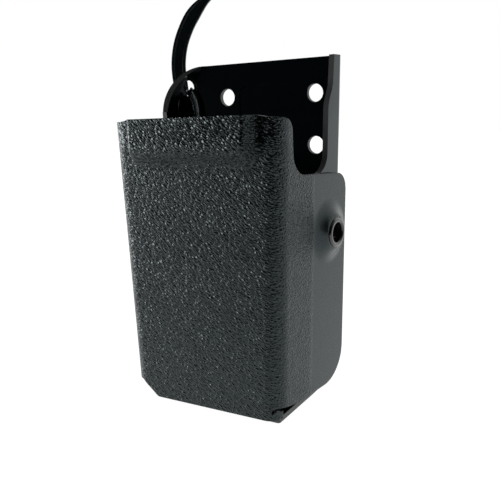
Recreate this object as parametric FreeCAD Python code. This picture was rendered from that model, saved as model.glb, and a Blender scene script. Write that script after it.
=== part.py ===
import FreeCAD, Part
import math
import os

# A two-sheet moulded belt holder for a box-shaped hand lamp: a textured front shell
# is set over a smooth rear tray with one eyelet on each side, and a toothed nylon strap
# is threaded through the small hole in the tray's top left corner.
#
# Millimetres. +X is the wearer's left-to-right as seen from the front, +Y points from the
# front shell towards the rear tray, +Z is up. The design frame has Y = 0 on the tray's
# front face; every piece is moved by FRAME_Y at the end, so that the origin lies under
# the middle of the whole object.

Vec = FreeCAD.Vector

# ---- driving dimensions -------------------------------------------------------------
SHEET = 2.0            # thickness of both moulded sheets
FIT = 0.05             # gap between the shell's wall and the tray's flange
TAPER = 0.032          # each side leans out by this much per millimetre of height

SHELL_TOP = 105.9
SHELL_DEPTH = 42.46    # tray's front face to the shell's front face
SHELL_FRONT_HALF = 31.4    # half width of the front at Z = 1
SHELL_REAR_HALF = 36.1     # half width at the tray's rear face, at Z = 1
SHELL_CORNER_R = 6.5
SHELL_FRONT_BOTTOM = 1.0
SIDE_BOTTOM = 3.9      # lower edge of the side walls
FLAP_TOP = 85.2        # upper edge of the side flaps
NOTCH_Y = -34.6        # front edge of the side cut-out

PAD_RISE = 4.5         # how far the moulded relief stands out of the front
PAD_FACE_HALF = 23.0
PAD_FOOT_HALF = 26.2
PAD_FACE_BOTTOM = 95.0
PAD_FOOT_BOTTOM = 87.0

BOSS_Y, BOSS_Z = -10.0, 63.5
BOSS_FOOT_R = 12.0
BOSS_TOP_R = 6.0
BOSS_RISE = 3.0
EYELET_BORE_R = 3.55
EYELET_BARREL_R = 3.95
EYELET_FLANGE_R = 5.4
EYELET_HOLE_R = 4.0
EYELET_ROLL = 0.9      # how far the rolled flange stands proud
WASHER_THICK = 0.5
WASHER_R = 5.1

TRAY_TOP = 126.0
TRAY_CORNER_R = 16.0   # large upper left corner
TRAY_BEND_R = 3.0      # outer bend between plate and flange
BEND_STEPS = 5         # flats that the bend is made of
FLANGE_END_X = -19.0   # where the left flange has run out into the top edge
WRAP_INNER_R, WRAP_LIFT = 18.0, 0.3    # inside of the large corner: the flange thins to nothing
TRAY_FOOT_R = 13.0     # outer bend between plate and floor
FLANGE_TOP_Y = -4.6    # front edge of the right flange at its top
FLANGE_RIGHT_Y = -8.3  # and beside the screw holes
FLANGE_LEFT_Y = -9.5
FLANGE_FOOT_Z = 17.0
FLOOR_HALF = 30.6
FLOOR_FRONT_Y = -40.3

HOLE_R = 3.3
HOLE_PITCH_X = 38.1
HOLE_PITCH_Z = 19.05
HOLE_RIGHT_X = 27.4
HOLE_TOP_Z = 113.3
STRAP_HOLE_X, STRAP_HOLE_Z = -30.0, 117.8

PANEL_HALF_X, PANEL_X = 15.0, 9.5      # shallow sunk panel between the screw holes
PANEL_TOP_Z, PANEL_BOTTOM_Z, PANEL_DEPTH = 117.3, 98.0, 0.35

STRAP_WIDTH = 6.0
STRAP_THICK = 1.8
STRAP_GAP = 0.9        # between the strap's inner run and the tray
TIP_WIDTH = 2.2
RUN_X = -24.0
HEAD_TOP_Z = 100.0
HEAD_WIDTH, HEAD_DEPTH, HEAD_HEIGHT = 9.0, 5.5, 8.0
NECK_X, NECK_Z, NECK_R = -29.6, 116.6, 1.6
TAIL_ROUTE = [(-30.0, 4.1, 116.6), (-33.8, 4.6, 117.1), (-36.5, 4.7, 120.6), (-37.3, 4.8, 127.5),
              (-36.4, 5.4, 135.0), (-34.6, 6.6, 141.0), (-32.0, 8.6, 147.0), (-28.3, 11.6, 152.6),
              (-23.4, 15.97, 157.6)]

FRAME_Y = 15.0

FAR = 80.0


# ---- helpers ------------------------------------------------------------------------
def side_slope():
    """Growth of the half width per millimetre of depth."""
    return (SHELL_REAR_HALF - SHELL_FRONT_HALF) / (SHELL_DEPTH + SHEET)


def wall_x(y, z, inset=0.0):
    """Half width of the shell's outer side face at a depth and height, less an inset."""
    lean = math.hypot(1.0, side_slope())
    front = SHELL_FRONT_HALF + TAPER * (z - 1.0)
    return front + side_slope() * (y + SHELL_DEPTH) - inset * lean


def rounded_wire(points, to_vec):
    """Closed wire through (u, v, radius) corners, each rounded by a tangent arc."""
    count = len(points)
    edges, ends = [], []
    for i in range(count):
        u, v, r = points[i]
        here = Vec(u, v, 0)
        before = Vec(points[i - 1][0], points[i - 1][1], 0) - here
        after = Vec(points[(i + 1) % count][0], points[(i + 1) % count][1], 0) - here
        if r <= 0:
            ends.append((here, here, None))
            continue
        before.normalize()
        after.normalize()
        half = before.getAngle(after) / 2
        reach = r / math.tan(half)
        middle = before + after
        middle.normalize()
        centre = here + middle * (r / math.sin(half))
        crown = centre - middle * r
        ends.append((here + before * reach, here + after * reach, crown))
    for i in range(count):
        start, end, crown = ends[i]
        if crown is not None:
            arc = Part.Arc(to_vec(start.x, start.y), to_vec(crown.x, crown.y), to_vec(end.x, end.y))
            edges.append(arc.toShape())
        nxt = ends[(i + 1) % count][0]
        if (nxt - end).Length > 1e-6:
            edges.append(Part.LineSegment(to_vec(end.x, end.y), to_vec(nxt.x, nxt.y)).toShape())
    return Part.Wire(edges)


def prism_along_x(points, x0, x1):
    """Solid with a rounded outline in the YZ plane, from x0 to x1."""
    wire = rounded_wire(points, lambda u, v: Vec(x0, u, v))
    return Part.Face(wire).extrude(Vec(x1 - x0, 0, 0))


def prism_along_y(points, y0, y1):
    """Solid with a rounded outline in the XZ plane, from y0 to y1."""
    wire = rounded_wire(points, lambda u, v: Vec(u, y0, v))
    return Part.Face(wire).extrude(Vec(0, y1 - y0, 0))


def prism_along_z(points, z0, z1):
    """Solid with a rounded outline in the XY plane, from z0 to z1."""
    wire = rounded_wire(points, lambda u, v: Vec(u, v, z0))
    return Part.Face(wire).extrude(Vec(0, 0, z1 - z0))


def cylinder_y(radius, x, z, y0, y1):
    return Part.makeCylinder(radius, y1 - y0, Vec(x, y0, z), Vec(0, 1, 0))


def mirrored(shape):
    return shape.mirror(Vec(0, 0, 0), Vec(1, 0, 0))


def boss_place(side):
    """Placement whose Z axis leaves the side wall squarely at the boss's centre."""
    out = Vec(1, -side_slope(), -TAPER)
    out.normalize()
    place = FreeCAD.Placement(Vec(wall_x(BOSS_Y, BOSS_Z), BOSS_Y, BOSS_Z),
                              FreeCAD.Rotation(Vec(0, 0, 1), out))
    return place


def revolved(profile, side):
    """Solid of revolution from (radius, height) points on the boss axis of one side."""
    points = [Vec(r, 0, h) for r, h in profile]
    face = Part.Face(Part.makePolygon(points + [points[0]]))
    solid = face.revolve(Vec(0, 0, 0), Vec(0, 0, 1), 360)
    solid.Placement = boss_place(side)
    return solid if side > 0 else mirrored(solid)


def flank(foot_r, foot_h, top_r, top_h, steps=8):
    """Hollow-curved flank of a boss from its foot to its top, as (radius, height)."""
    rows = []
    for i in range(steps + 1):
        t = i / steps
        rows.append((foot_r + (top_r - foot_r) * t, foot_h + (top_h - foot_h) * t ** 1.7))
    return rows


def boss_body(side, drop, bury):
    """Outer form of a boss whose sheet face lies drop below the shell's outer face."""
    rows = flank(BOSS_FOOT_R - drop * 0.5, -drop, BOSS_TOP_R - drop * 0.15, BOSS_RISE - drop)
    low = -drop - bury
    return revolved([(0, low), (rows[0][0], low)] + rows + [(0, rows[-1][1])], side)


# ---- front shell --------------------------------------------------------------------
def shell_section(z, inset, rear_y):
    rear = wall_x(rear_y, z, inset)
    front = wall_x(-SHELL_DEPTH + inset, z, inset)
    y = -SHELL_DEPTH + inset
    r = SHELL_CORNER_R - inset
    outline = [(rear, rear_y, 0), (-rear, rear_y, 0), (-front, y, r), (front, y, r)]
    return rounded_wire(outline, lambda u, v: Vec(u, v, z))


def shell_body(inset, rear_y, z0, z1):
    return Part.makeLoft([shell_section(z0, inset, rear_y), shell_section(z1, inset, rear_y)],
                         True, True)


def relief(inset):
    """The raised relief on the upper front, drawn in by inset for its hollow side."""
    over = SHELL_TOP + 20

    def outline(half, bottom, r, y):
        points = [(-half, bottom, r), (half, bottom, r), (half, over, 0), (-half, over, 0)]
        return rounded_wire(points, lambda u, v: Vec(u, y, v))
    face_y = -SHELL_DEPTH - PAD_RISE + inset
    foot_y = -SHELL_DEPTH + inset
    draw = inset * 0.7
    inner = (PAD_FACE_HALF - draw, PAD_FACE_BOTTOM + draw)
    foot = (PAD_FOOT_HALF - draw, PAD_FOOT_BOTTOM + draw)
    return Part.makeLoft([outline(foot[0], foot[1], 7.0, foot_y + SHEET / 2),
                          outline(foot[0], foot[1], 7.0, foot_y),
                          outline(inner[0], inner[1], 5.0, face_y)], True, True)


def flap_outline():
    """The side view that the whole shell is trimmed to."""
    return prism_along_x([(-FAR, -5, 0), (-FAR, SHELL_TOP, 0), (-44.0, SHELL_TOP, 0),
                          (-40.2, SHELL_TOP - 1.0, 0), (NOTCH_Y, SHELL_TOP - 1.6, 4.8),
                          (NOTCH_Y, FLAP_TOP + 0.6, 8.0), (SHEET, FLAP_TOP - 1.2, 6.5),
                          (SHEET, SIDE_BOTTOM, TRAY_FOOT_R), (-20.0, SIDE_BOTTOM, 0),
                          (-20.0, -5, 0)], -FAR, FAR)


def shell_corner_cuts():
    """Trim of the lower edge: a long slanted cut on the left, a narrow slit on the right."""
    side = [(-38.4, SIDE_BOTTOM + 2.6, 1.2), (-28.0, SIDE_BOTTOM, 4.0), (-15.0, SIDE_BOTTOM, 0),
            (-15.0, -5, 0), (-38.4, -5, 0)]
    cuts = [prism_along_x(side, -FAR, -FLOOR_HALF + 4), prism_along_x(side, FLOOR_HALF - 4, FAR)]
    left = [(-FAR, -5, 0), (-20.2, -5, 0), (-20.2, 0.4, 1.0), (-28.2, 7.0, 2.0), (-FAR, 7.0, 0)]
    cuts.append(prism_along_y(left, -FAR, -36.5))
    right = [(FAR, 4.1, 0), (28.2, 3.8, 0.7), (28.2, 5.5, 0.7), (FAR, 6.3, 0)]
    cuts.append(prism_along_y(right, -FAR, -36.5))
    return cuts


def front_shell():
    outer = shell_body(0.0, SHEET, SHELL_FRONT_BOTTOM, SHELL_TOP + 5).fuse(relief(0.0))
    inner = shell_body(SHEET, SHEET + 6, SHELL_FRONT_BOTTOM - 4, SHELL_TOP + 9).fuse(relief(SHEET))
    wall = outer.cut(inner).common(flap_outline())
    for cut in shell_corner_cuts():
        wall = wall.cut(cut)
    wall = wall.cut(Part.makeBox(8, 6, 7, Vec(FLOOR_HALF - 6.5, FLOOR_FRONT_Y - FIT, -4.7)))
    for side in (1, -1):
        wall = wall.fuse(boss_body(side, 0.0, SHEET / 2))
        wall = wall.cut(boss_body(side, SHEET, 6.0))
        wall = wall.cut(revolved([(0, -20), (EYELET_HOLE_R, -20), (EYELET_HOLE_R, 20), (0, 20)], side))
    return wall.removeSplitter()


# ---- rear tray ----------------------------------------------------------------------
def tray_outline(y, inset, low_z, bend=0.0):
    """Outline of the tray in the XZ plane at one depth, its sides drawn in by the bend."""
    hollow = inset > 0
    top = TRAY_TOP + (WRAP_LIFT if hollow else 0.0)
    draw = SHEET + FIT + inset + bend
    low, high = wall_x(y, low_z, draw), wall_x(y, top, draw)
    over = TRAY_TOP + 3 * inset
    step = [(FLANGE_END_X + 1.5, over, 0), (FLANGE_END_X + 1.5, top, 0)] if hollow else []
    points = [(-low, low_z, 0), (low, low_z, 0), (wall_x(y, over, draw), over, 0)]
    points += step + [(-high, top, WRAP_INNER_R - bend if hollow else TRAY_CORNER_R)]
    return rounded_wire(points, lambda u, v: Vec(u, y, v))


def tray_block(inset, rear_y, front_y, low_z, radius):
    """Solid filling the tray to one face of its sheet, with the bend along both sides."""
    outlines = []
    for i in range(BEND_STEPS + 1):
        angle = math.radians(90.0 * i / BEND_STEPS)
        outlines.append(tray_outline(rear_y - radius * (1 - math.cos(angle)), inset, low_z,
                                     radius * (1 - math.sin(angle))))
    outlines.append(tray_outline(front_y, inset, low_z))
    return Part.makeLoft(outlines, True, True)


def flange_trim():
    """What is cut away in front of the flanges: one side profile for each side."""
    def profile(top_y, upper_y):
        return [(-FAR, TRAY_TOP + 5, 0), (top_y, TRAY_TOP + 5, 0), (top_y - 0.7, 115.2, 11.0),
                (upper_y, 109.0, 11.0), (upper_y, 86.4, 7.0), (-20.5, 83.0, 5.0),
                (-20.5, FLANGE_FOOT_Z + 6.0, 5.0), (-8.0, FLANGE_FOOT_Z, 2.0),
                (-8.0, -9, 0), (-FAR, -9, 0)]
    right = prism_along_x(profile(FLANGE_TOP_Y, FLANGE_RIGHT_Y), 0.0, FAR)
    left = prism_along_x(profile(FLANGE_LEFT_Y, FLANGE_LEFT_Y), -FAR, 0.0)
    return right, left


def corner_trim():
    """Wedge that lets the left flange run out round the large upper corner."""
    start_z = TRAY_TOP - TRAY_CORNER_R - 1.5
    start_x = -wall_x(0.0, start_z, SHEET)
    run = (FLANGE_END_X - start_x + TRAY_TOP - start_z) / math.sqrt(2.0)
    side = [Vec(0, FLANGE_LEFT_Y, 0), Vec(run, 0, 0), Vec(run, -FAR, 0), Vec(0, -FAR, 0)]
    wedge = Part.Face(Part.makePolygon(side + [side[0]])).extrude(Vec(0, 0, 2 * FAR))
    wedge.translate(Vec(0, 0, -FAR))
    wedge.rotate(Vec(0, 0, 0), Vec(0, 1, 0), -45)
    wedge.translate(Vec(start_x, 0, start_z))
    return wedge.common(Part.makeBox(FAR, FAR, FAR, Vec(FLANGE_END_X - FAR, -FAR, start_z)))


def tray_foot():
    """Lower plate, rear bend and floor, as one sheet carried across the width."""
    r = TRAY_FOOT_R
    sheet = prism_along_x([(FLOOR_FRONT_Y, 0, 0), (SHEET, 0, r), (SHEET, FLANGE_FOOT_Z + 8, 0),
                           (0, FLANGE_FOOT_Z + 8, 0), (0, SHEET, r - SHEET),
                           (FLOOR_FRONT_Y, SHEET, 0)], -FAR, FAR)
    rear = wall_x(SHEET, FLANGE_FOOT_Z, SHEET + FIT + TRAY_BEND_R)
    plan = prism_along_z([(-FLOOR_HALF, -31.0, 3.0), (-20.5, FLOOR_FRONT_Y, 3.0),
                          (FLOOR_HALF, FLOOR_FRONT_Y, 1.0),
                          (FLOOR_HALF, -10.0, 6.0), (rear, SHEET + 1, 0), (-rear, SHEET + 1, 0),
                          (-FLOOR_HALF, -10.0, 6.0)], -1, FLANGE_FOOT_Z + 8)
    return sheet.common(plan)


def rear_tray():
    front_y = -24.0
    outer = tray_block(0.0, SHEET, front_y, FLANGE_FOOT_Z, TRAY_BEND_R)
    inner = tray_block(SHEET, 0.0, front_y - 1, FLANGE_FOOT_Z - 1, TRAY_BEND_R - SHEET)
    tray = outer.cut(inner)
    for cut in flange_trim():
        tray = tray.cut(cut)
    tray = tray.cut(corner_trim())
    tray = tray.fuse(tray_foot())
    for x in (HOLE_RIGHT_X, HOLE_RIGHT_X - HOLE_PITCH_X):
        for z in (HOLE_TOP_Z, HOLE_TOP_Z - HOLE_PITCH_Z):
            tray = tray.cut(cylinder_y(HOLE_R, x, z, -5, 5))
    tray = tray.cut(cylinder_y(HOLE_R, STRAP_HOLE_X, STRAP_HOLE_Z, -1, 5))
    panel = prism_along_y([(PANEL_X - PANEL_HALF_X, PANEL_BOTTOM_Z, 3.5),
                           (PANEL_X + PANEL_HALF_X, PANEL_BOTTOM_Z, 3.5),
                           (PANEL_X + PANEL_HALF_X, PANEL_TOP_Z, 3.5),
                           (PANEL_X - PANEL_HALF_X, PANEL_TOP_Z, 3.5)], -1, PANEL_DEPTH)
    tray = tray.cut(panel)
    for side in (1, -1):
        tray = tray.fuse(boss_body(side, SHEET + FIT, SHEET / 2))
        tray = tray.cut(boss_body(side, 2 * SHEET + FIT, 6.0))
        tray = tray.cut(revolved([(0, -20), (EYELET_HOLE_R, -20), (EYELET_HOLE_R, 20), (0, 20)], side))
    return tray


# ---- eyelets ------------------------------------------------------------------------
def eyelet(side):
    """Barrel with its outer flange rolled over the boss and its tail rolled inside."""
    top = BOSS_RISE
    tail = BOSS_RISE - 2 * SHEET - FIT - WASHER_THICK
    bore, barrel, rim = EYELET_BORE_R, EYELET_BARREL_R, EYELET_FLANGE_R
    roll = EYELET_ROLL
    outline = [(bore, tail - roll * 0.6), (bore, top + roll * 0.45), (bore + 0.35, top + roll * 0.85),
               (bore + 0.8, top + roll), (rim - 0.6, top + roll * 0.55), (rim - 0.1, top + roll * 0.3),
               (rim, top + 0.02), (barrel, top + 0.02), (barrel, tail - 0.02),
               (barrel + 0.9, tail - 0.02), (barrel + 0.8, tail - roll * 0.45),
               (barrel + 0.2, tail - roll * 0.6)]
    return revolved(outline, side)


def eyelet_washer(side):
    """Flat washer under the rolled tail, inside the tray."""
    top = BOSS_RISE - 2 * SHEET - FIT
    low = top - WASHER_THICK
    return revolved([(EYELET_HOLE_R, low), (WASHER_R, low), (WASHER_R, top), (EYELET_HOLE_R, top)],
                    side)


# ---- strap --------------------------------------------------------------------------
def path_point(points, t):
    """Point at t from 0 to 1 on a smooth curve that passes through every given point."""
    spans = len(points) - 1
    i = min(int(t * spans), spans - 1)
    u = t * spans - i
    a, b = points[i], points[i + 1]
    before = points[i - 1] if i > 0 else a * 2 - b
    after = points[i + 2] if i + 2 <= spans else b * 2 - a
    return (a * (2 * u ** 3 - 3 * u ** 2 + 1) + b * (3 * u ** 2 - 2 * u ** 3)
            + (b - before) * 0.5 * (u ** 3 - 2 * u ** 2 + u) + (after - a) * 0.5 * (u ** 3 - u ** 2))


def ribbon(points, wides, steps, tip_from=1.0, tip_width=STRAP_WIDTH):
    """Flat strap through the points; wides gives its width direction at even spacing."""
    wires = []
    for i in range(steps + 1):
        t = i / steps
        here = path_point(points, t)
        ahead = path_point(points, min(1.0, t + 0.01)) - path_point(points, max(0.0, t - 0.01))
        ahead.normalize()
        wide = path_point(wides, t)
        wide = wide - ahead * wide.dot(ahead)
        wide.normalize()
        thick = ahead.cross(wide) * (STRAP_THICK / 2)
        narrowing = max(0.0, (t - tip_from) / (1.0 - tip_from)) if tip_from < 1.0 else 0.0
        wide = wide * ((STRAP_WIDTH + (tip_width - STRAP_WIDTH) * narrowing) / 2)
        corners = [here + wide + thick, here - wide + thick, here - wide - thick, here + wide - thick]
        wires.append(Part.makePolygon(corners + [corners[0]]))
    return Part.makeLoft(wires, True, True)


def strap_inner():
    """Locking head, the run up inside the tray and the neck through the strap hole."""
    head = Part.makeBox(HEAD_WIDTH, HEAD_DEPTH, HEAD_HEIGHT,
                        Vec(RUN_X - HEAD_WIDTH / 2, -STRAP_GAP - HEAD_DEPTH, HEAD_TOP_Z - HEAD_HEIGHT))
    head = head.makeChamfer(0.8, head.Edges)
    back = -STRAP_GAP - STRAP_THICK / 2
    points = [Vec(RUN_X, back, HEAD_TOP_Z - 1.0), Vec(RUN_X, back, 107.0),
              Vec(RUN_X - 0.6, back - 0.2, 111.5), Vec(RUN_X - 2.8, back - 0.5, 115.0),
              Vec(NECK_X - 0.4, back - 0.5, NECK_Z)]
    wides = [Vec(1, -0.2, 0), Vec(1, -0.2, 0), Vec(1, -0.1, 0.1), Vec(0.8, 0, 0.5), Vec(0.5, 0, 0.85)]
    run = ribbon(points, wides, 14)
    neck = cylinder_y(NECK_R, NECK_X, NECK_Z, back - 1.0, SHEET + 0.6)
    return head.fuse(run).fuse(neck).removeSplitter()


def strap_tail():
    """The free end behind the tray: it leaves the neck, rises, bows back and tapers off."""
    start_y = SHEET + 0.9
    disc = cylinder_y(NECK_R + 0.5, NECK_X, NECK_Z, start_y, start_y + 1.6)
    wides = [Vec(0.0, 0.0, 1.0), Vec(0.3, 0.2, 0.9), Vec(0.8, 0.4, 0.4)] + [Vec(0.86, 0.5, 0.0)] * 6
    tail = ribbon([Vec(*p) for p in TAIL_ROUTE], wides, 26, 0.72, TIP_WIDTH)
    return disc.fuse(tail).removeSplitter()


# ---- the whole object ---------------------------------------------------------------
def build():
    return {
        "front_shell": front_shell(),
        "rear_tray": rear_tray(),
        "eyelet_right": eyelet(1),
        "eyelet_left": eyelet(-1),
        "eyelet_washer_right": eyelet_washer(1),
        "eyelet_washer_left": eyelet_washer(-1),
        "strap_inner": strap_inner(),
        "strap_tail": strap_tail(),
    }


def main():
    os.makedirs("parts", exist_ok=True)
    for name, shape in build().items():
        shape.translate(Vec(0, FRAME_Y, 0))
        shape.exportStep("parts/" + name + ".step")
        print(name, "solids", len(shape.Solids), "volume", round(shape.Volume, 1), shape.isValid())


if __name__ == "__main__":
    main()
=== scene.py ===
import math

import bmesh
import bpy
import numpy as np
from mathutils import Matrix, Vector


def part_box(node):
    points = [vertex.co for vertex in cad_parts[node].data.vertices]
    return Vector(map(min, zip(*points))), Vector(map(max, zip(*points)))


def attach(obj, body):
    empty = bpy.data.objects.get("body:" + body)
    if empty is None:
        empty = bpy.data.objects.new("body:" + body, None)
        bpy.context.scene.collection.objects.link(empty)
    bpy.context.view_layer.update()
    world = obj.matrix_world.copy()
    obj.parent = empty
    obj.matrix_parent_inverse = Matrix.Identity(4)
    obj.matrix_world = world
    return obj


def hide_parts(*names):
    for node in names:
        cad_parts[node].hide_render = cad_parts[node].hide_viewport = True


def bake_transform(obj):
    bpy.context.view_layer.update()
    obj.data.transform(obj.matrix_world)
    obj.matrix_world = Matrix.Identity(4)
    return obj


bl_info = {
    "name": "Belt Holder",
    "version": (1, 0, 0),
    "blender": (4, 5, 0),
    "location": "3D View > Sidebar > Holder",
    "description": "Builds a moulded belt holder for a hand lamp over its packed frame",
    "category": "Object",
}

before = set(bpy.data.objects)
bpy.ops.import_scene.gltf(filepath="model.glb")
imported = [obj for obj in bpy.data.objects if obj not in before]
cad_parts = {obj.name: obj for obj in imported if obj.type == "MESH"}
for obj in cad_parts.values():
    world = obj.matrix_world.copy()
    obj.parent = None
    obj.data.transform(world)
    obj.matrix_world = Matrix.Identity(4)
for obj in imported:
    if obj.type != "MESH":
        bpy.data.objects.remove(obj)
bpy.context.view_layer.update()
MM = 0.001
FLOOR_Z = 0.0

# Two reference planes: the rear face of the tray's plate and the shell's upper rim.
PLATE_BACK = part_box("rear_tray")[1][1]
SHELL_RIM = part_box("front_shell")[1][2]
PLATE_SHEET = 2.0 * MM      # from the plate's rear face to its front face
STRAP_HOLE = (-30.0, 117.8)  # x and z of the strap hole's middle, millimetres


# ---- meshes -------------------------------------------------------------------------
def new_piece(name, points, quads, smooth=True):
    """A mesh object at the origin from an (n, 3) array of points and an (m, 4) array of faces."""
    mesh = bpy.data.meshes.new(name)
    mesh.from_pydata(points.tolist(), [], quads.tolist())
    mesh.update()
    mesh.polygons.foreach_set("use_smooth", np.full(len(mesh.polygons), smooth))
    piece = bpy.data.objects.new(name, mesh)
    bpy.context.scene.collection.objects.link(piece)
    return piece


def grid_quads(rows, columns, wrap_rows=False, wrap_columns=False):
    """Faces of a grid whose points are stored row by row; a wrapped side joins the last to the first."""
    i = np.arange(rows if wrap_rows else rows - 1)[:, None]
    j = np.arange(columns if wrap_columns else columns - 1)[None, :]
    i2, j2 = (i + 1) % rows, (j + 1) % columns
    corners = [i * columns + j, i * columns + j2, i2 * columns + j2, i2 * columns + j]
    return np.stack([np.broadcast_to(c, (i.shape[0], j.shape[1])) for c in corners], -1).reshape(-1, 4)


def finish(piece, body, material):
    """Gives a piece its material and the body that it rides on."""
    piece.data.materials.clear()
    piece.data.materials.append(material)
    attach(piece, body)
    return piece


def add_modifier(piece, kind, **settings):
    modifier = piece.modifiers.new(kind.title(), kind)
    for key, value in settings.items():
        setattr(modifier, key, value)
    return modifier


def smooth_by_angle(piece, degrees):
    """Marks edges sharper than the angle, so that the rest shades smoothly."""
    piece.data.set_sharp_from_angle(angle=math.radians(degrees))


def rounded_path(corners, step):
    """Points along a polygon whose corners (u, v, radius) are rounded by tangent arcs."""
    corners = np.array(corners, float)
    here, radius = corners[1:-1, :2], corners[1:-1, 2]
    back = corners[:-2, :2] - here
    ahead = corners[2:, :2] - here
    back /= np.linalg.norm(back, axis=1)[:, None]
    ahead /= np.linalg.norm(ahead, axis=1)[:, None]
    half = np.arccos(np.clip((back * ahead).sum(1), -1, 1)) / 2
    middle = back + ahead
    middle /= np.linalg.norm(middle, axis=1)[:, None]
    centre = here + middle * (radius / np.sin(half))[:, None]
    reach = (radius / np.tan(half))[:, None]
    t = np.linspace(0, 1, 13)[None, :, None]
    start, end = (here + back * reach - centre)[:, None], (here + ahead * reach - centre)[:, None]
    spoke = start * (1 - t) + end * t
    length = np.maximum(np.linalg.norm(spoke, axis=2, keepdims=True), 1e-12)
    arcs = centre[:, None] + spoke / length * radius[:, None, None]
    points = np.vstack([corners[:1, :2], arcs.reshape(-1, 2), corners[-1:, :2]])
    keep = np.r_[True, np.linalg.norm(np.diff(points, axis=0), axis=1) > 1e-9]
    points = points[keep]
    along = np.r_[0, np.cumsum(np.linalg.norm(np.diff(points, axis=0), axis=1))]
    even = np.linspace(0, along[-1], int(round(along[-1] / step)) + 1)
    return np.stack([np.interp(even, along, points[:, 0]), np.interp(even, along, points[:, 1])], 1)


def smooth_step(t):
    t = np.clip(t, 0, 1)
    return t * t * (3 - 2 * t)


# ---- materials ----------------------------------------------------------------------
COOL = (0.78, 0.96, 1.0, 1.0)     # tint of the highlights on moulded black
RELIEF_FACE = (0.0955, 0.0985)    # heights between which the raised relief's face begins, metres


class Value:
    """A shader socket or number that adds Math nodes when it is used in an expression."""

    def __init__(self, shader, socket):
        self.shader = shader
        self.socket = socket

    def _math(self, operation, *others):
        values = [other.socket if isinstance(other, Value) else other for other in others]
        node = self.shader.node("ShaderNodeMath", {"operation": operation}, dict(enumerate(values)))
        return Value(self.shader, node.outputs[0])

    def __add__(self, other):
        return self._math("ADD", self, other)

    __radd__ = __add__

    def __mul__(self, other):
        return self._math("MULTIPLY", self, other)

    __rmul__ = __mul__

    def __sub__(self, other):
        return self._math("SUBTRACT", self, other)

    def __rsub__(self, other):
        return self._math("SUBTRACT", other, self)

    def __pow__(self, other):
        return self._math("POWER", self, other)

    def clamped(self, low, high):
        """0 below low, 1 above high and a soft ramp between them."""
        settings = {"interpolation_type": "SMOOTHSTEP", "clamp": True}
        node = self.shader.node("ShaderNodeMapRange", settings, {
            "Value": self.socket, "From Min": low, "From Max": high, "To Min": 0.0, "To Max": 1.0})
        return Value(self.shader, node.outputs["Result"])


class Shader:
    """One material: its node tree, its surface shader and the calls that add nodes to it."""

    def __init__(self, name):
        self.material = bpy.data.materials.new(name)
        self.material.use_nodes = True
        self.tree = self.material.node_tree
        self.surface = self.tree.nodes["Principled BSDF"]

    def node(self, kind, settings, sockets):
        """Adds a node: its settings first, then the values or links of its sockets."""
        node = self.tree.nodes.new(kind)
        for key, value in settings.items():
            setattr(node, key, value)
        for key, value in sockets.items():
            self.put(node.inputs[key], value)
        return node

    def put(self, socket, value):
        if isinstance(value, Value):
            value = value.socket
        if isinstance(value, bpy.types.NodeSocket):
            self.tree.links.new(value, socket)
        else:
            socket.default_value = value

    def value(self, node, output=0):
        return Value(self, node.outputs[output])

    def place(self):
        """Object coordinates, in metres."""
        return self.node("ShaderNodeTexCoord", {}, {}).outputs["Object"]

    def axes(self, vector):
        parts = self.node("ShaderNodeSeparateXYZ", {}, {"Vector": vector})
        return [self.value(parts, i) for i in range(3)]

    def vector(self, x, y, z):
        return self.node("ShaderNodeCombineXYZ", {}, {"X": x, "Y": y, "Z": z}).outputs[0]

    def noise(self, vector, scale, detail=2.0, roughness=0.5, distortion=0.0):
        return self.value(self.node("ShaderNodeTexNoise", {}, {
            "Vector": vector, "Scale": scale, "Detail": detail, "Roughness": roughness,
            "Distortion": distortion}))

    def cells(self, vector, scale, feature, smoothness=0.0):
        sockets = {"Vector": vector, "Scale": scale}
        if feature == "SMOOTH_F1":
            sockets["Smoothness"] = smoothness
        return self.value(self.node("ShaderNodeTexVoronoi", {"feature": feature}, sockets), "Distance")

    def mix(self, factor, a, b):
        node = self.node("ShaderNodeMix", {"data_type": "RGBA"}, {})
        for index, value in ((0, factor), (6, a), (7, b)):
            self.put(node.inputs[index], value)
        return node.outputs[2]

    def bump(self, height, distance):
        sockets = {"Height": height, "Distance": distance, "Strength": 1.0}
        return self.node("ShaderNodeBump", {}, sockets).outputs["Normal"]

    def set(self, **sockets):
        for key, value in sockets.items():
            self.put(self.surface.inputs[key.replace("_", " ")], value)


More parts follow.
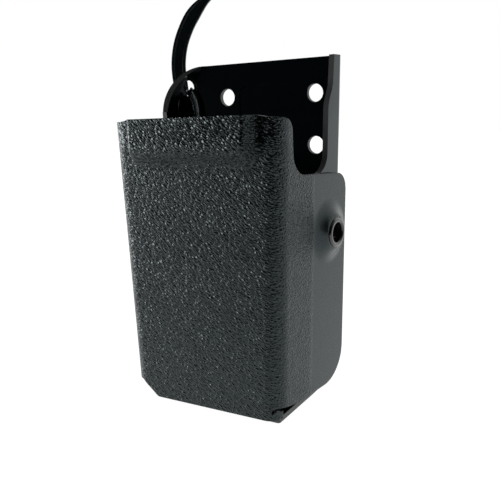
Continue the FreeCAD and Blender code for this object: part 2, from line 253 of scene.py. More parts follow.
def grained_sheet(settings):
    """Black moulded sheet with a wrinkled leather grain, which fades to satin on the flaps."""
    shader = Shader("grained_sheet")
    place = shader.place()
    x, y, z = shader.axes(place)
    sway = shader.node("ShaderNodeTexNoise", {}, {"Vector": place, "Scale": 260.0, "Detail": 2.0})
    wander = shader.node("ShaderNodeVectorMath", {"operation": "MULTIPLY_ADD"}, {
        0: sway.outputs["Color"], 1: (0.0016, 0.0016, 0.0016), 2: place}).outputs[0]
    wx, wy, wz = shader.axes(wander)
    # The wrinkles run down to the right on the front, so the cells are drawn out along that line.
    along = wx * 0.38 - wz * 0.2
    across = wx * 0.5 + wz * 1.0
    lean = shader.vector(along, wy * 0.8, across)
    grain = 1.0 / settings.grain_size
    pebble = shader.cells(lean, grain, "SMOOTH_F1", 0.3)
    valley = shader.cells(lean, grain, "DISTANCE_TO_EDGE")
    fine = shader.noise(place, 2400.0, 3.0, 0.6)
    height = valley.clamped(0.0, 0.6) * 0.8 + (1.0 - pebble) * 0.4 + fine * 0.06
    textured = 1.0 - y.clamped(settings.grain_end - 0.0012, settings.grain_end + 0.0012)
    satin = shader.noise(place, 900.0, 2.0, 0.5)
    lifted = z.clamped(*RELIEF_FACE)
    relief = height * textured * (1.0 - 0.35 * lifted) + satin * 0.04 * (1.0 - textured)
    patch = shader.noise(place, 45.0, 3.0, 0.55)
    # Painted shade and highlight: the grain's valleys take the dark colour as painted shade and its
    # crests the pale colour as a painted highlight; the large patches vary the tone at random.
    valley_shade = tuple(settings.sheet_color[i] * 0.1 for i in range(3)) + (1.0,)
    pale = tuple(settings.sheet_color[i] * 2.6 for i in range(3)) + (1.0,)
    grain_shade_and_patches = (height * 0.9 + patch * 0.25 - 0.25).clamped(0.0, 1.0)
    # The raised relief's face is a little glossier than the front under it.
    upper = lifted * textured
    rough = (settings.sheet_roughness - 0.05 * (1.0 - textured) + (patch - 0.5) * 0.1
             - height * 0.08 - upper * 0.1)
    shader.set(Base_Color=shader.mix(grain_shade_and_patches, valley_shade, pale), Roughness=rough,
               Normal=shader.bump(relief, settings.grain_depth))
    shader.set(Specular_Tint=COOL)
    return shader.material


def cut_edge():
    """Sawn and scraped edge of the sheet: paler and duller than its faces."""
    shader = Shader("cut_edge")
    place = shader.place()
    scrape = shader.noise(place, 1500.0, 3.0, 0.6)
    shader.set(Base_Color=shader.mix(scrape, (0.03, 0.031, 0.033, 1.0), (0.07, 0.072, 0.075, 1.0)),
               Roughness=scrape * 0.2 + 0.42, Normal=shader.bump(scrape, 0.00004))
    return shader.material


def smooth_sheet(settings):
    """Black polished moulded sheet with faint handling marks."""
    shader = Shader("smooth_sheet")
    place = shader.place()
    smear = shader.noise(place, 30.0, 4.0, 0.6, 0.4)
    orange = shader.noise(place, 260.0, 2.0, 0.5)
    black = tuple(settings.tray_color)
    # The drilled wall of the strap hole is matt.
    x, _, z = shader.axes(place)
    hole_x, hole_z = STRAP_HOLE[0] * MM, STRAP_HOLE[1] * MM
    drilled = 1.0 - (((x - hole_x) ** 2.0 + (z - hole_z) ** 2.0) ** 0.5).clamped(0.0040, 0.0052)
    shader.set(Base_Color=shader.mix(smear, black + (1.0,), tuple(c * 1.35 for c in black) + (1.0,)),
               Roughness=settings.tray_roughness + (smear - 0.5) * 0.12 + drilled * 0.75,
               Normal=shader.bump(orange, 0.00002))
    shader.set(Specular_Tint=COOL)
    return shader.material


def eyelet_enamel():
    """Black enamel on metal, rubbed a little on the rolled rim."""
    shader = Shader("eyelet_enamel")
    place = shader.place()
    rub = shader.noise(place, 900.0, 3.0, 0.6)
    shader.set(Base_Color=shader.mix(rub.clamped(0.55, 0.8), (0.008, 0.008, 0.009, 1.0),
                                     (0.03, 0.03, 0.032, 1.0)),
               Roughness=rub * 0.15 + 0.16, Normal=shader.bump(rub, 0.00001), Metallic=0.0)
    shader.set(Coat_Weight=0.6, Coat_Roughness=0.08)
    return shader.material


def strap_nylon(settings):
    """Black satin nylon with a faint mottle and fine bumps."""
    shader = Shader("strap_nylon")
    place = shader.place()
    haze = shader.noise(place, 160.0, 3.0, 0.55)
    fine = shader.noise(place, 1800.0, 2.0, 0.5)
    black = tuple(settings.strap_color)
    shader.set(Base_Color=shader.mix(haze, black + (1.0,), tuple(c * 1.5 for c in black) + (1.0,)),
               Roughness=haze * 0.1 + 0.3, Normal=shader.bump(fine, 0.00002))
    shader.set(Specular_Tint=COOL)
    return shader.material


# ---- settings -----------------------------------------------------------------------
def length(name, description, default, **extra):
    return bpy.props.FloatProperty(name=name, description=description, default=default,
                                   precision=5, subtype="DISTANCE", unit="LENGTH", **extra)


def amount(name, description, default):
    return bpy.props.FloatProperty(name=name, description=description, default=default)


def color(name, description, default):
    return bpy.props.FloatVectorProperty(name=name, description=description, default=default,
                                         subtype="COLOR", size=3, min=0.0, max=1.0)


class HolderSheetSettings(bpy.types.PropertyGroup):
    """Sizes and finishes of the two moulded sheets."""
    sheet: length("Sheet thickness", "Thickness of both moulded sheets", 0.002)
    depth: length("Pouch depth", "Plate's front face to the shell's front face", 0.04246)
    front_half: length("Front half width", "Half width of the shell's front at its lower edge", 0.0314)
    rear_half: length("Rear half width", "Half width of the shell at the plate, lower edge", 0.0361)
    taper: amount("Taper", "How much each side leans out per unit of height", 0.032)
    corner_radius: length("Corner radius", "Radius of the shell's upright front corners", 0.0065)
    relief_rise: length("Relief rise", "How far the raised relief stands out", 0.0045)
    boss_rise: length("Boss rise", "How far the eyelet bosses stand out", 0.003)
    edge_round: length("Edge rounding", "Width of the buffed cut edges", 0.0004)
    sheet_color: color("Shell colour", "Colour of the grained sheet", (0.0068, 0.0086, 0.0093))
    sheet_roughness: amount("Shell roughness", "Roughness of the grained sheet", 0.36)
    grain_size: length("Grain size", "Size of one pebble of the leather grain", 0.00085)
    grain_depth: length("Grain depth", "Depth of the leather grain", 0.00042)
    grain_end: length("Grain end", "Where the grain ends on the sides", -0.0065)
    tray_color: color("Tray colour", "Colour of the smooth sheet", (0.0016, 0.0035, 0.0050))
    tray_roughness: amount("Tray roughness", "Roughness of the smooth sheet", 0.12)


class HolderFittingSettings(bpy.types.PropertyGroup):
    """Sizes and finishes of the eyelets and the strap."""
    eyelet_bore: length("Eyelet bore radius", "Inside radius of the eyelets", 0.00355)
    eyelet_rim: length("Eyelet rim radius", "Outside radius of the rolled rim", 0.0054)
    strap_width: length("Strap width", "Width of the nylon strap", 0.006)
    run_width: length("Inner run width", "Width of the strap's toothed inner run", 0.0034)
    strap_thick: length("Strap thickness", "Thickness of the nylon strap", 0.0018)
    tooth_pitch: length("Tooth pitch", "Distance from one strap tooth to the next", 0.0009)
    strap_color: color("Strap colour", "Colour of the nylon strap", (0.0075, 0.0105, 0.0120))


class HolderStageSettings(bpy.types.PropertyGroup):
    """Camera, lights and floor."""
    lens: amount("Lens", "Focal length in millimetres", 46.8)
    floor_half: length("Floor half width", "Half width of the floor", 3.0)
    floor_front: length("Floor front", "How far the floor reaches in front of the holder", 0.20)
    surround: amount("Surround", "Brightness of the pale surround behind the holder", 1.0)
    shade: amount("Shade", "Brightness of the dark side behind the camera", 0.004)
    overhead: amount("Overhead", "Strength of the broad light from above", 0.3)


# ---- front shell --------------------------------------------------------------------
class ShellForm:
    """The shell's outer face: a U-shaped outline in plan that widens with height.

    In plan it is a flat front, two upright corners of one radius and two straight sides that
    open towards the plate. Every width grows in proportion to the height. Millimetres, with
    y = 0 on the plate's front face.
    """
    FLAP_TOP = 85.2
    BOTTOM = 1.0
    SIDE_BOTTOM = 3.9
    TOP = (SHELL_RIM - FLOOR_Z) / MM
    BOSS_Y, BOSS_Z = -10.0, 63.5
    BOSS_FOOT, BOSS_RIM, HOLE = 12.0, 6.0, 4.1

    def __init__(self, s):
        self.sheet, self.depth = s.sheet / MM, s.depth / MM
        self.front, self.taper = s.front_half / MM, s.taper
        self.slope = (s.rear_half - s.front_half) / (s.depth + s.sheet)
        self.lean = math.hypot(1.0, self.slope)
        self.radius = s.corner_radius / MM
        self.rise, self.boss_rise = s.relief_rise / MM, s.boss_rise / MM
        self.arc = math.pi / 2 - math.atan(self.slope)
        self.centre_y = -self.depth + self.radius
        self.side_y = self.centre_y - self.radius * math.cos(self.arc)
        self.flat = self.flat_half(self.BOTTOM)
        self.side_from = self.flat + self.radius * self.arc
        self.end = self.side_from + (self.sheet - self.side_y) * self.lean

    def flat_half(self, z):
        """Half width of the flat front at a height."""
        wide = self.front + self.taper * (z - 1.0) + self.slope * (self.centre_y + self.depth)
        return wide - self.radius * self.lean

    def along(self, y):
        """Distance along the outline of a point on the side at depth y."""
        return self.side_from + (np.asarray(y, float) - self.side_y) * self.lean

    def around(self, y):
        """Distance along the outline of a depth y, on the side or in the corner."""
        y = np.asarray(y, float)
        turn = np.arccos(np.clip((self.centre_y - y) / self.radius, math.cos(self.arc), 1.0))
        return np.where(y > self.side_y, self.along(y), self.flat + self.radius * turn)

    def outline(self, p, z):
        """x and y of the outer face at distance p along the outline and height z.

        Front: x = p stretched to the flat half width, y = -depth. Corner: centre plus radius
        times (sin, -cos) of the turn. Side: x grows with y by the slope.
        """
        turn = np.clip((p - self.flat) / self.radius, 0.0, self.arc)
        side = np.maximum(p - self.side_from, 0.0) / self.lean
        x = np.minimum(p / self.flat, 1.0) * self.flat_half(z)
        x = x + self.radius * np.sin(turn) + side * self.slope
        y = self.centre_y - self.radius * np.cos(turn) + side
        return x, y

    def top(self):
        """Upper edge as (distance along the outline, height): rim, notch, flap and rear corner."""
        side = rounded_path([(-42.4, self.TOP - 0.7, 0), (-35.2, self.TOP - 1.6, 4.8),
                             (-33.9, self.FLAP_TOP + 0.6, 8.0), (self.sheet, self.FLAP_TOP - 1.2, 6.5),
                             (self.sheet + 0.03, 40.0, 0)], 0.6)
        side = side[side[:, 1] > 70.0]
        front = [(0.0, self.TOP), (self.flat * 0.9, self.TOP)]
        return np.vstack([front, np.stack([self.around(side[:, 0]), side[:, 1]], 1)])

    def bottom(self, left):
        """Lower edge: a long slanted trim on the left, a small step on the right, a round rear."""
        if left:
            trim = [(0, self.BOTTOM, 0), (20.9, self.BOTTOM, 2.0), (28.0, 7.0, 2.0)]
        else:
            trim = [(0, self.BOTTOM, 0), (28.1, self.BOTTOM, 0.3), (28.4, 4.9, 0.7), (30.2, 5.65, 1.5)]
        rear = float(self.along(self.sheet))
        turn = (float(self.around(-38.4)), 6.3, 2.0) if left else (32.6, 5.5, 4.0)
        trim += [turn, (float(self.around(-29.0)), self.SIDE_BOTTOM, 6.0),
                 (rear, self.SIDE_BOTTOM, 12.8), (rear + 0.03, 40.0, 0)]
        edge = rounded_path(trim, 0.6)
        return edge[edge[:, 1] < 17.5]

    def relief(self, x, z):
        """0 to 1: how far a point of the front is lifted, with flanks wider below than beside."""
        beside = np.maximum(np.abs(x) - 23.0, 0.0) / 3.6
        below = np.maximum(95.0 - z, 0.0) / 6.5
        return 1.0 - smooth_step(np.hypot(beside, below))

    def boss(self, y, z):
        """Height of the eyelet boss: level inside its rim, then a hollow flank out to its foot."""
        r = np.hypot((y - self.BOSS_Y) * self.lean, z - self.BOSS_Z)
        t = np.clip((self.BOSS_FOOT - r) / (self.BOSS_FOOT - self.BOSS_RIM), 0.0, 1.0)
        return self.boss_rise * t ** 1.7, r


def half_shell(form, left, rows):
    """Points (rows, columns, 3) of one half of the outer face, and each point's boss radius."""
    top, bottom = form.top(), form.bottom(left)
    last = min(top[-1, 0], bottom[-1, 0], form.end)
    p = np.unique(np.concatenate([np.arange(0.0, last, 1.0), top[:, 0], bottom[:, 0], [last]]))
    p = p[p <= last]
    p = p[np.r_[True, np.diff(p) > 0.09]]
    p[-1] = last
    high, low = np.interp(p, top[:, 0], top[:, 1]), np.interp(p, bottom[:, 0], bottom[:, 1])
    share = np.linspace(0.0, 1.0, rows)[:, None]
    z = low + (high - low) * share
    x, y = form.outline(p[None, :], z)
    y = y - form.rise * form.relief(x, z) * (p[None, :] < form.flat + 1.0)
    lift, r = form.boss(y, z)
    lift = np.where(p[None, :] > form.side_from, lift, 0.0)
    out = np.array([1.0, -form.slope, -form.taper])
    out /= np.linalg.norm(out)
    # Points round the eyelet's hole slide onto its circle.
    near = (r > 0) & (np.abs(r - form.HOLE) < 0.45) & (p[None, :] > form.side_from)
    scale = np.where(near, form.HOLE / np.maximum(r, 1e-9), 1.0)
    new_y = form.BOSS_Y + (y - form.BOSS_Y) * scale
    x = x + (new_y - y) * form.slope
    new_z = np.where(near, form.BOSS_Z + (z - form.BOSS_Z) * scale, z)
    x = x + (new_z - z) * form.taper
    points = np.stack([x, new_y, new_z], -1) + lift[..., None] * out
    return points, np.where(p[None, :] > form.side_from, np.where(near, form.HOLE, r), 99.0)


def walled(piece, s, rim):
    """Gives a skin the sheet's thickness, a rim of its own finish and softly buffed edges."""
    piece.data.materials.append(rim)
    add_modifier(piece, "SOLIDIFY", thickness=s.sheet, offset=-1.0, use_even_offset=False,
                 material_offset_rim=1)
    add_modifier(piece, "BEVEL", width=s.edge_round, segments=2, limit_method="ANGLE",
                 angle_limit=math.radians(50))
    add_modifier(piece, "WEIGHTED_NORMAL", keep_sharp=True)
    return piece


def corner_tab(s, material, rim):
    """The strip of the front that runs on under the slit at the lower right corner.

    It follows the outline from just before the slit; its top rises from 3.4 mm to a low crest
    at 4.9 mm and falls away again beyond it.
    """
    form = ShellForm(s)
    p = np.linspace(27.3, float(form.around(-38.6)), 22)[None, :]
    top = np.interp(p, [27.3, 28.7, 29.6, 30.3, 30.9, 31.5, 32.2, 33.5],
                    [3.4, 3.5, 4.1, 4.8, 4.9, 4.3, 4.0, 4.2])
    z = form.BOTTOM + (top - form.BOTTOM) * np.linspace(0.0, 1.0, 8)[:, None]
    x, y = form.outline(p, z)
    draw = 0.03 + 0.5 * smooth_step((p - 29.5) / 4.0)
    points = np.stack(np.broadcast_arrays(x - draw, y + draw, z), -1).reshape(-1, 3)
    piece = new_piece("shell_corner_tab", to_frame(points), grid_quads(8, 22))
    finish(piece, "holder", material)
    return walled(piece, s, rim)


def front_shell(s, material, rim):
    """Outer face as one grid from the left flap round the front to the right flap."""
    form = ShellForm(s)
    rows = 92
    right, right_r = half_shell(form, False, rows)
    left, left_r = half_shell(form, True, rows)
    left = left * np.array([-1.0, 1.0, 1.0])
    points = np.concatenate([left[:, :0:-1], right], 1)
    radius = np.concatenate([left_r[:, :0:-1], right_r], 1)
    columns = points.shape[1]
    quads = grid_quads(rows, columns)
    inside = (radius.reshape(-1)[quads] < form.HOLE + 0.02).all(1)
    piece = new_piece("shell_skin", to_frame(points.reshape(-1, 3)), quads[~inside])
    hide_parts("front_shell")
    finish(piece, "holder", material)
    return walled(piece, s, rim)


def to_frame(points):
    """Millimetres from the plate's front face to metres in the shared frame."""
    points = np.asarray(points, float) * MM
    return points + np.array([0.0, PLATE_BACK - PLATE_SHEET, FLOOR_Z])


# ---- rear tray ----------------------------------------------------------------------
def tray_rims(centre, normal):
    """True for the sheet's cut edges, told by where they are and which way they face."""
    x, y, z = centre.T
    from_hole = np.hypot(x - STRAP_HOLE[0], z - STRAP_HOLE[1])
    through = (np.abs(normal[:, 1]) < 0.15) & (y > 0.1) & (y < 1.9) & (from_hole > 3.6)
    flange = (normal[:, 1] < -0.25) & (y < -2.0) & (z > 16.0)
    front = (z < 16.0) & (normal[:, 1] < -0.5) & (y < -28.0)
    sides = (z < 17.5) & (np.abs(normal[:, 0]) > 0.85)
    foot = (np.abs(normal[:, 2]) > 0.5) & (np.abs(x) > 32.5) & (z < 40.0) & (y < -1.0)
    return through | flange | front | sides | foot


def rear_tray(s, material, rim):
    """The tray's own solid with its cut edges buffed round."""
    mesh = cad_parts["rear_tray"].data.copy()
    piece = bpy.data.objects.new("tray_skin", mesh)
    bpy.context.scene.collection.objects.link(piece)
    work = bmesh.new()
    work.from_mesh(mesh)
    bmesh.ops.remove_doubles(work, verts=work.verts, dist=0.00001)
    bmesh.ops.dissolve_limit(work, angle_limit=math.radians(0.6), verts=work.verts, edges=work.edges)
    bmesh.ops.recalc_face_normals(work, faces=work.faces)
    work.to_mesh(mesh)
    work.free()
    count = len(mesh.polygons)
    centre, normal = np.empty(count * 3), np.empty(count * 3)
    mesh.polygons.foreach_get("center", centre)
    mesh.polygons.foreach_get("normal", normal)
    centre = (centre.reshape(-1, 3) - np.array([0.0, PLATE_BACK - s.sheet, FLOOR_Z])) / MM
    cut = tray_rims(centre, normal.reshape(-1, 3))
    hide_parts("rear_tray")
    finish(piece, "holder", material)
    mesh.materials.append(rim)
    mesh.polygons.foreach_set("material_index", cut.astype(np.int32))
    mesh.polygons.foreach_set("use_smooth", np.ones(count, bool))
    add_modifier(piece, "BEVEL", width=s.edge_round, segments=2, limit_method="ANGLE",
                 angle_limit=math.radians(50))
    add_modifier(piece, "WEIGHTED_NORMAL", keep_sharp=True)
    return piece


# ---- eyelets ------------------------------------------------------------------------
def boss_frame(form):
    """Axes and origin in millimetres: the third axis leaves the side wall squarely at the boss."""
    out = np.array([1.0, -form.slope, -form.taper])
    out /= np.linalg.norm(out)
    across = np.cross([0.0, 1.0, 0.0], out)
    across /= np.linalg.norm(across)
    wall = form.flat_half(form.BOSS_Z) + form.radius * form.lean
    x = wall + (form.BOSS_Y - form.centre_y) * form.slope
    axes = np.stack([across, np.cross(out, across), out], 1)
    return axes, np.array([x, form.BOSS_Y, form.BOSS_Z])


def turned(name, form, side, corners, step, around=96):
    """A closed profile of (radius, height) corners turned round the boss axis."""
    start = (np.array(corners[0]) + np.array(corners[-1])) / 2
    path = rounded_path([tuple(start[:2]) + (0,)] + list(corners) + [tuple(start[:2]) + (0,)], step)[:-1]
    angle = np.linspace(0.0, 2 * np.pi, around, endpoint=False)[:, None]
    r, h = path[:, 0][None, :], path[:, 1][None, :]
    local = np.stack([r * np.cos(angle), r * np.sin(angle), h + 0 * angle], -1).reshape(-1, 3)
    axes, origin = boss_frame(form)
    points = local @ axes.T + origin
    quads = grid_quads(around, len(path), True, True)
    if side < 0:
        points = points * np.array([-1.0, 1.0, 1.0])
        quads = quads[:, ::-1]
    return new_piece(name, to_frame(points), quads)


def eyelet(s, f, side, material):
    """Rolled eyelet: plain barrel, a rounded rim outside and a smaller roll inside."""
    form = ShellForm(s)
    word = "right" if side > 0 else "left"
    bore, rim = f.eyelet_bore / MM, f.eyelet_rim / MM
    barrel, top = bore + 0.4, form.boss_rise
    tail = top - 2 * form.sheet - 0.55
    corners = [(bore, tail - 0.52, 0.2), (bore, top + 0.88, 0.75), (rim - 0.3, top + 0.86, 0.7),
               (rim, top + 0.03, 0.12), (barrel, top + 0.03, 0.02), (barrel, tail - 0.03, 0.02),
               (barrel + 0.9, tail - 0.03, 0.1), (barrel + 0.9, tail - 0.52, 0.3)]
    piece = turned("eyelet_rim_" + word, form, side, corners, 0.1)
    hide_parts("eyelet_" + word)
    return finish(piece, "holder", material)


def washer(s, side, material):
    """Flat washer with softened edges under the inner roll."""
    form = ShellForm(s)
    word = "right" if side > 0 else "left"
    top = form.boss_rise - 2 * form.sheet - 0.05
    corners = [(4.0, top - 0.5, 0.1), (4.0, top, 0.1), (5.1, top, 0.15), (5.1, top - 0.5, 0.15)]
    piece = turned("washer_ring_" + word, form, side, corners, 0.08)
    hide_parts("eyelet_washer_" + word)
    return finish(piece, "holder", material)


# ---- strap --------------------------------------------------------------------------
# The band's middle line in millimetres: up inside the tray, through the strap hole and up behind
# the plate. STRAP_FACES is the direction of the band's width at each of those points.
STRAP_ROUTE = np.array([
    (-24.9, -0.9, 97.0), (-24.9, -0.9, 101.5), (-24.9, -0.9, 106.0), (-25.1, -0.9, 109.4),
    (-25.8, -0.9, 112.6), (-27.2, -0.9, 115.2), (-28.8, -0.4, 116.6), (-29.9, 1.2, 116.9),
    (-30.6, 3.3, 116.6), (-32.8, 4.2, 115.6), (-35.2, 4.5, 116.6), (-36.9, 4.8, 120.9),
    (-37.3, 4.8, 128.0), (-36.4, 5.4, 135.0), (-34.6, 6.6, 141.0), (-32.0, 8.6, 147.0),
    (-28.3, 11.6, 152.6), (-23.4, 15.9, 157.6)])
STRAP_FACES = np.array([
    (1.0, 0.0, 0.0), (1.0, 0.0, 0.0), (1.0, 0.0, 0.0), (0.98, 0.0, 0.12),
    (0.9, 0.0, 0.4), (0.75, 0.0, 0.6), (0.85, 0.0, 0.5), (0.95, 0.0, 0.25),
    (0.8, 0.5, 0.0), (0.3, 0.95, 0.0), (0.5, 0.85, 0.2), (0.86, 0.5, 0.1),
    (0.86, 0.5, 0.0), (0.86, 0.5, 0.0), (0.86, 0.5, 0.0), (0.86, 0.5, 0.0),
    (0.86, 0.5, 0.0), (0.86, 0.5, 0.0)])


def through(points, t):
    """Smooth curve through every point: cubic pieces whose slopes come from the neighbours."""
    count = len(points) - 1
    i = np.minimum((t * count).astype(int), count - 1)
    u = (t * count - i)[:, None]
    padded = np.vstack([2 * points[0] - points[1], points, 2 * points[-1] - points[-2]])
    before, a, b, after = padded[i], padded[i + 1], padded[i + 2], padded[i + 3]
    return (a * (2 * u ** 3 - 3 * u ** 2 + 1) + b * (3 * u ** 2 - 2 * u ** 3)
            + (b - before) * 0.5 * (u ** 3 - 2 * u ** 2 + u) + (after - a) * 0.5 * (u ** 3 - u ** 2))


def strap_section(width, thick, teeth, tooth):
    """Closed section of the band: raised rails at both edges, sunk middle on both faces.

    teeth is 0 to 1 along the band and tooth is the wave of the teeth at each place.
    """
    side = np.array([-1.0, -0.97, -0.86, -0.62, -0.54, -0.40, 0.0, 0.40, 0.54, 0.62, 0.86, 0.97, 1.0])
    rail = np.array([0.55, 0.85, 1.0, 1.0, 0.62, 0.56, 0.56, 0.56, 0.62, 1.0, 1.0, 0.85, 0.55])
    columns = np.isin(np.arange(len(side)), (2, 3, 6, 9, 10))[None, :]
    face = rail[None, :] + columns * (teeth * (tooth - 0.5))[:, None] * 0.9
    back = np.broadcast_to(rail[None, :], face.shape)
    u = np.broadcast_to(side[None, :], face.shape) * width[:, None] / 2
    return (np.concatenate([u, u[:, ::-1]], 1),
            np.concatenate([face, -back[:, ::-1]], 1) * thick[:, None] / 2)


def strap(f, material):
    """The band swept along its route, from the locking head to its tapered tip."""
    width, thick, run_width = f.strap_width / MM, f.strap_thick / MM, f.run_width / MM
    raw = np.linspace(0.0, 1.0, 4000)
    line = through(STRAP_ROUTE, raw)
    along = np.r_[0.0, np.cumsum(np.linalg.norm(np.diff(line, axis=0), axis=1))]
    pitch = f.tooth_pitch / MM
    places = np.arange(0.0, along[-1], pitch / 6)
    t = np.interp(places, along, raw)
    centre, wide = through(STRAP_ROUTE, t), through(STRAP_FACES, t)
    ahead = np.gradient(centre, axis=0)
    ahead /= np.linalg.norm(ahead, axis=1)[:, None]
    wide = wide - ahead * (wide * ahead).sum(1)[:, None]
    wide /= np.linalg.norm(wide, axis=1)[:, None]
    out = np.cross(ahead, wide)
    left = along[-1] - places
    narrow = np.where(left < 16.0, 0.36 + 0.64 * smooth_step(left / 16.0), 1.0)
    blunt = np.sqrt(np.clip(1 - (1 - np.clip(left / 1.2, 0, 1)) ** 2, 0.02, 1))
    tail = smooth_step((places - 26.0) / 9.0)
    width, thick = run_width + (width - run_width) * tail, 1.2 + (thick - 1.2) * tail
    teeth = 1.0 - smooth_step((places - 22.0) / 4.0)
    wave = 0.5 + 0.5 * np.sign(np.sin(2 * np.pi * places / pitch))
    u, v = strap_section(width * narrow * blunt, thick * (0.55 + 0.45 * narrow) * blunt, teeth, wave)
    rows, columns = u.shape
    points = centre[:, None] + wide[:, None] * u[..., None] + out[:, None] * v[..., None]
    flat = points.reshape(-1, 3)
    quads = grid_quads(rows, columns, False, True)
    ends = np.vstack([centre[:1], centre[-1:]])
    first, last = rows * columns, rows * columns + 1
    ring = np.arange(columns)
    caps = np.concatenate([np.stack([ring, np.roll(ring, -1), np.full(columns, first)], 1)[:, ::-1],
                           np.stack([ring, np.roll(ring, -1), np.full(columns, last)], 1)
                           + np.array([1, 1, 0]) * (rows - 1) * columns])
    mesh = bpy.data.meshes.new("strap_band")
    mesh.from_pydata(to_frame(np.vstack([flat, ends])).tolist(), [],
                     quads[:, ::-1].tolist() + caps[:, ::-1].tolist())
    mesh.update()
    mesh.polygons.foreach_set("use_smooth", np.ones(len(mesh.polygons), bool))
    piece = bpy.data.objects.new("strap_band", mesh)
    bpy.context.scene.collection.objects.link(piece)
    smooth_by_angle(piece, 38)
    piece.data.materials.append(material)
    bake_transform(piece)
    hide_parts("strap_tail", "strap_inner")
    return piece


def strap_head(material):
    """The strap's locking head: a box with rounded edges."""
    centre = np.array([-24.0, -3.75, 96.0])
    half = np.array([4.5, 2.75, 4.0])
    t = np.linspace(-np.pi / 2, np.pi / 2, 17)[:, None]
    a = np.linspace(0, 2 * np.pi, 48, endpoint=False)[None, :]
    power = 0.35

    def squared(v):
        return np.sign(v) * np.abs(v) ** power
    x = squared(np.cos(t)) * squared(np.cos(a))
    y = squared(np.cos(t)) * squared(np.sin(a))
    z = squared(np.sin(t)) + 0 * a
    points = np.stack([x, y, z], -1) * half + centre
    piece = new_piece("strap_head_block", to_frame(points.reshape(-1, 3)),
                      grid_quads(17, 48, False, True))
    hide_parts("strap_inner")
    return finish(piece, "holder", material)


# ---- stage --------------------------------------------------------------------------
KEY_PLACE, KEY_AIM, KEY_SIZE, KEY_POWER = (-0.8, -0.25, 0.12), (0, 0, 0.05), (0.8, 0.35), 6.0
FLOOR_GLOW = 0.97           # the floor's own light, so that it reads as plain white
FLOOR_DROP = 0.0002         # the floor lies this far under the tray
CAMERA_PLACE = (0.130567, -0.210666, 0.104679)
CAMERA_PAN, CAMERA_TILT, CAMERA_ROLL = 0.537, -0.189, -0.072


def camera(stage):
    """Camera at a three-quarter view from the front right, a little above the holder's middle."""
    lens = bpy.data.cameras.new("camera")
    lens.lens = stage.lens
    lens.clip_start = 0.01
    shot = bpy.data.objects.new("camera", lens)
    bpy.context.scene.collection.objects.link(shot)
    turn = (Matrix.Rotation(CAMERA_ROLL, 4, "Y") @ Matrix.Rotation(CAMERA_TILT, 4, "X")
            @ Matrix.Rotation(CAMERA_PAN, 4, "Z") @ Matrix.Rotation(math.pi / 2, 4, "X"))
    shot.matrix_world = Matrix.Translation(CAMERA_PLACE) @ turn
    bpy.context.scene.camera = shot


def soft_light(name, place, aim, size, power):
    """A soft rectangular lamp that the camera doesn't see."""
    lamp = bpy.data.lights.new(name, "AREA")
    lamp.shape = "RECTANGLE"
    lamp.size, lamp.size_y = size
    lamp.energy = power
    light = bpy.data.objects.new(name, lamp)
    bpy.context.scene.collection.objects.link(light)
    ahead = Vector(aim) - Vector(place)
    light.matrix_world = Matrix.Translation(place) @ ahead.to_track_quat("-Z", "Y").to_matrix().to_4x4()
    light.visible_camera = False


def overhead(stage):
    """A broad sky light from above that keeps the floor pale right out to the surround."""
    lamp = bpy.data.lights.new("overhead", "SUN")
    lamp.energy, lamp.angle = stage.overhead, math.radians(90)
    light = bpy.data.objects.new("overhead", lamp)
    bpy.context.scene.collection.objects.link(light)
    light.matrix_world = Matrix.Rotation(math.radians(-12), 4, "X")


def surround(stage):
    """A pale room whose side behind the camera lights the holder only faintly."""
    world = bpy.data.worlds.new("surround")
    bpy.context.scene.world = world
    world.use_nodes = True
    tree = world.node_tree
    coordinates = tree.nodes.new("ShaderNodeTexCoord")
    lean = tree.nodes.new("ShaderNodeVectorMath")
    lean.operation = "DOT_PRODUCT"
    lean.inputs[1].default_value = (0.0, 1.0, -0.45)
    ramp = tree.nodes.new("ShaderNodeMapRange")
    ramp.interpolation_type = "SMOOTHSTEP"
    ramp.inputs["From Min"].default_value = -0.35
    ramp.inputs["From Max"].default_value = 0.25
    ramp.inputs["To Min"].default_value = stage.shade
    ramp.inputs["To Max"].default_value = stage.surround
    tree.links.new(coordinates.outputs["Generated"], lean.inputs[0])
    tree.links.new(lean.outputs["Value"], ramp.inputs["Value"])
    seen = tree.nodes.new("ShaderNodeLightPath")
    lighter = tree.nodes.new("ShaderNodeMath")
    lighter.operation = "MAXIMUM"
    tree.links.new(ramp.outputs[0], lighter.inputs[0])
    tree.links.new(seen.outputs["Is Camera Ray"], lighter.inputs[1])
    tree.links.new(lighter.outputs[0], tree.nodes["Background"].inputs["Strength"])
    tree.nodes["Background"].inputs["Color"].default_value = (1.0, 1.0, 1.0, 1.0)


def floor(stage):
    """A plain pale floor that glows evenly."""
    shader = Shader("pale_floor")
    shader.set(Base_Color=(0.2, 0.2, 0.2, 1.0), Roughness=0.9, Emission_Color=(1.0, 1.0, 1.0, 1.0),
               Emission_Strength=FLOOR_GLOW)
    half, front = stage.floor_half, -stage.floor_front
    points = np.array([(-half, front, 0), (half, front, 0), (half, half, 0), (-half, half, 0)])
    points = points + np.array([0, 0, FLOOR_Z - FLOOR_DROP])
    ground = new_piece("floor", points, np.array([[0, 1, 2, 3]]), False)
    ground.data.materials.append(shader.material)


# ---- operators ----------------------------------------------------------------------
class HOLDER_OT_shell(bpy.types.Operator):
    """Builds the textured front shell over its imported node"""
    bl_idname = "holder.shell"
    bl_label = "Front shell"

    def execute(self, context):
        sheet = context.scene.holder_sheet
        material, rim = grained_sheet(sheet), cut_edge()
        front_shell(sheet, material, rim)
        corner_tab(sheet, material, rim)
        return {"FINISHED"}


class HOLDER_OT_tray(bpy.types.Operator):
    """Gives the smooth rear tray its buffed edges and gloss"""
    bl_idname = "holder.tray"
    bl_label = "Rear tray"

    def execute(self, context):
        sheet = context.scene.holder_sheet
        rear_tray(sheet, smooth_sheet(sheet), cut_edge())
        return {"FINISHED"}


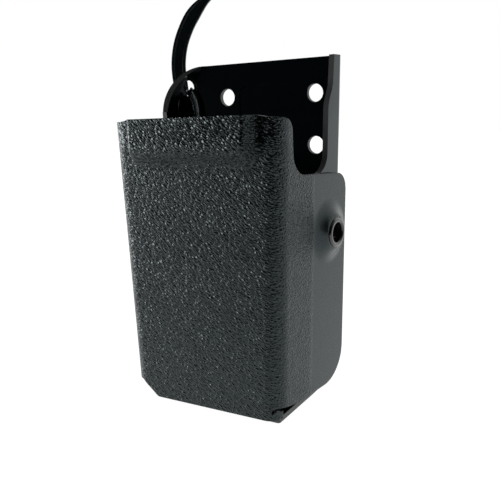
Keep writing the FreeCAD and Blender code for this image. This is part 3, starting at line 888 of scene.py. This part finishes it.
class HOLDER_OT_eyelets(bpy.types.Operator):
    """Builds both rolled eyelets and their washers"""
    bl_idname = "holder.eyelets"
    bl_label = "Eyelets"

    def execute(self, context):
        scene = context.scene
        material = eyelet_enamel()
        for side in (1, -1):
            eyelet(scene.holder_sheet, scene.holder_fittings, side, material)
            washer(scene.holder_sheet, side, material)
        return {"FINISHED"}


class HOLDER_OT_strap(bpy.types.Operator):
    """Builds the toothed nylon strap and its locking head"""
    bl_idname = "holder.strap"
    bl_label = "Strap"

    def execute(self, context):
        fittings = context.scene.holder_fittings
        material = strap_nylon(fittings)
        strap(fittings, material)
        strap_head(material)
        return {"FINISHED"}


class HOLDER_OT_stage(bpy.types.Operator):
    """Sets the floor, the surround, the lights and the camera"""
    bl_idname = "holder.stage"
    bl_label = "Stage"

    def execute(self, context):
        stage = context.scene.holder_stage
        floor(stage)
        surround(stage)
        soft_light("key", KEY_PLACE, KEY_AIM, KEY_SIZE, KEY_POWER)
        overhead(stage)
        camera(stage)
        context.scene.view_settings.view_transform = "Standard"
        return {"FINISHED"}


class HOLDER_PT_panel(bpy.types.Panel):
    """Shows each group's build buttons and its settings"""
    bl_label = "Holder"
    bl_idname = "HOLDER_PT_panel"
    bl_space_type = "VIEW_3D"
    bl_region_type = "UI"
    bl_category = "Holder"

    def draw(self, context):
        for name, group, operators in PANEL_ROWS:
            box = self.layout.box()
            box.label(text=name)
            for key in operators:
                box.operator(key)
            settings = getattr(context.scene, group)
            for key in settings.__annotations__:
                box.prop(settings, key)


PANEL_ROWS = [
    ("Sheets", "holder_sheet", ("holder.shell", "holder.tray")),
    ("Fittings", "holder_fittings", ("holder.eyelets", "holder.strap")),
    ("Stage", "holder_stage", ("holder.stage",)),
]
CLASSES = (HolderSheetSettings, HolderFittingSettings, HolderStageSettings, HOLDER_OT_shell,
           HOLDER_OT_tray, HOLDER_OT_eyelets, HOLDER_OT_strap, HOLDER_OT_stage, HOLDER_PT_panel)


def register():
    for item in CLASSES:
        bpy.utils.register_class(item)
    bpy.types.Scene.holder_sheet = bpy.props.PointerProperty(type=HolderSheetSettings)
    bpy.types.Scene.holder_fittings = bpy.props.PointerProperty(type=HolderFittingSettings)
    bpy.types.Scene.holder_stage = bpy.props.PointerProperty(type=HolderStageSettings)


def unregister():
    del bpy.types.Scene.holder_stage
    del bpy.types.Scene.holder_fittings
    del bpy.types.Scene.holder_sheet
    for item in reversed(CLASSES):
        bpy.utils.unregister_class(item)


def main():
    register()
    for step in (bpy.ops.holder.shell, bpy.ops.holder.tray, bpy.ops.holder.eyelets,
                 bpy.ops.holder.strap, bpy.ops.holder.stage):
        step()


if __name__ == "__main__":
    main()
